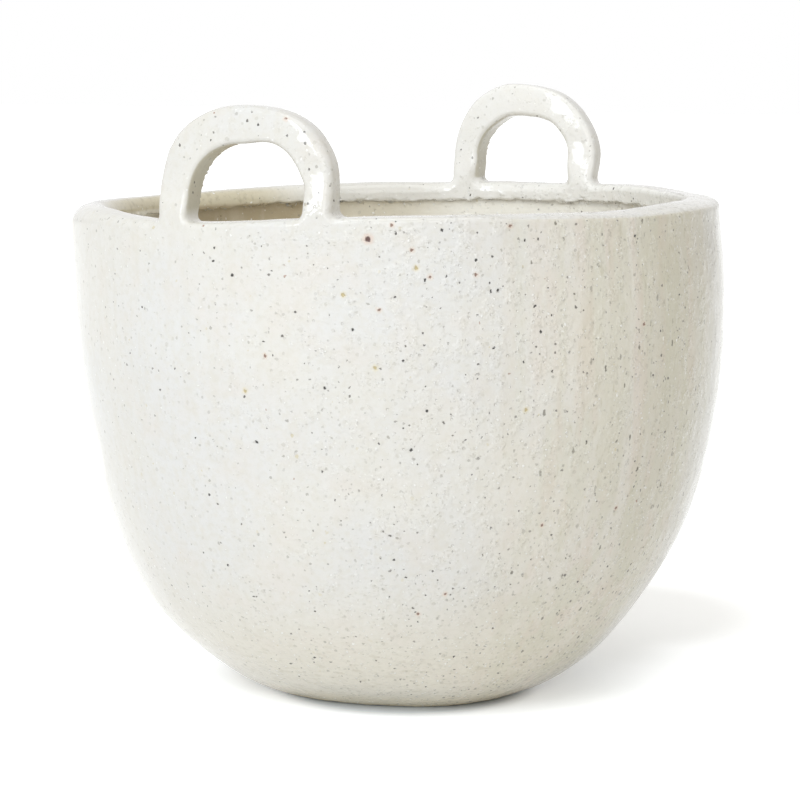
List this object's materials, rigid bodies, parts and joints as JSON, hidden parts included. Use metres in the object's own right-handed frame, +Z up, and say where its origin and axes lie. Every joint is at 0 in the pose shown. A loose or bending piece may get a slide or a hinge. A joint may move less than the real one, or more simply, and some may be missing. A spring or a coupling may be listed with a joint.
{
  "type": "planter",
  "caption": "Round-bottomed stoneware planter with a thick rounded rim and arched strap handles standing on it.",
  "frame": {"origin": "on the bowl's axis, on the surface that the foot stands on", "axes": "+Z up along the bowl's axis; the handles stand on the rim at -Y and +Y, each in a plane parallel to XZ"},
  "size_m": [0.284, 0.284, 0.26],
  "materials": {
    "glaze": "satin off-white glaze with dark iron specks",
    "bare_clay": "bare fired stoneware"
  },
  "bodies": {
    "root": {"base_slab": "bare_clay", "bowl_wall": "glaze", "rim_coil": "glaze", "handle_front": "glaze", "handle_back": "glaze", "front_left_weld": "glaze", "front_right_weld": "glaze", "back_left_weld": "glaze", "back_right_weld": "glaze"}
  },
  "joints": []
}
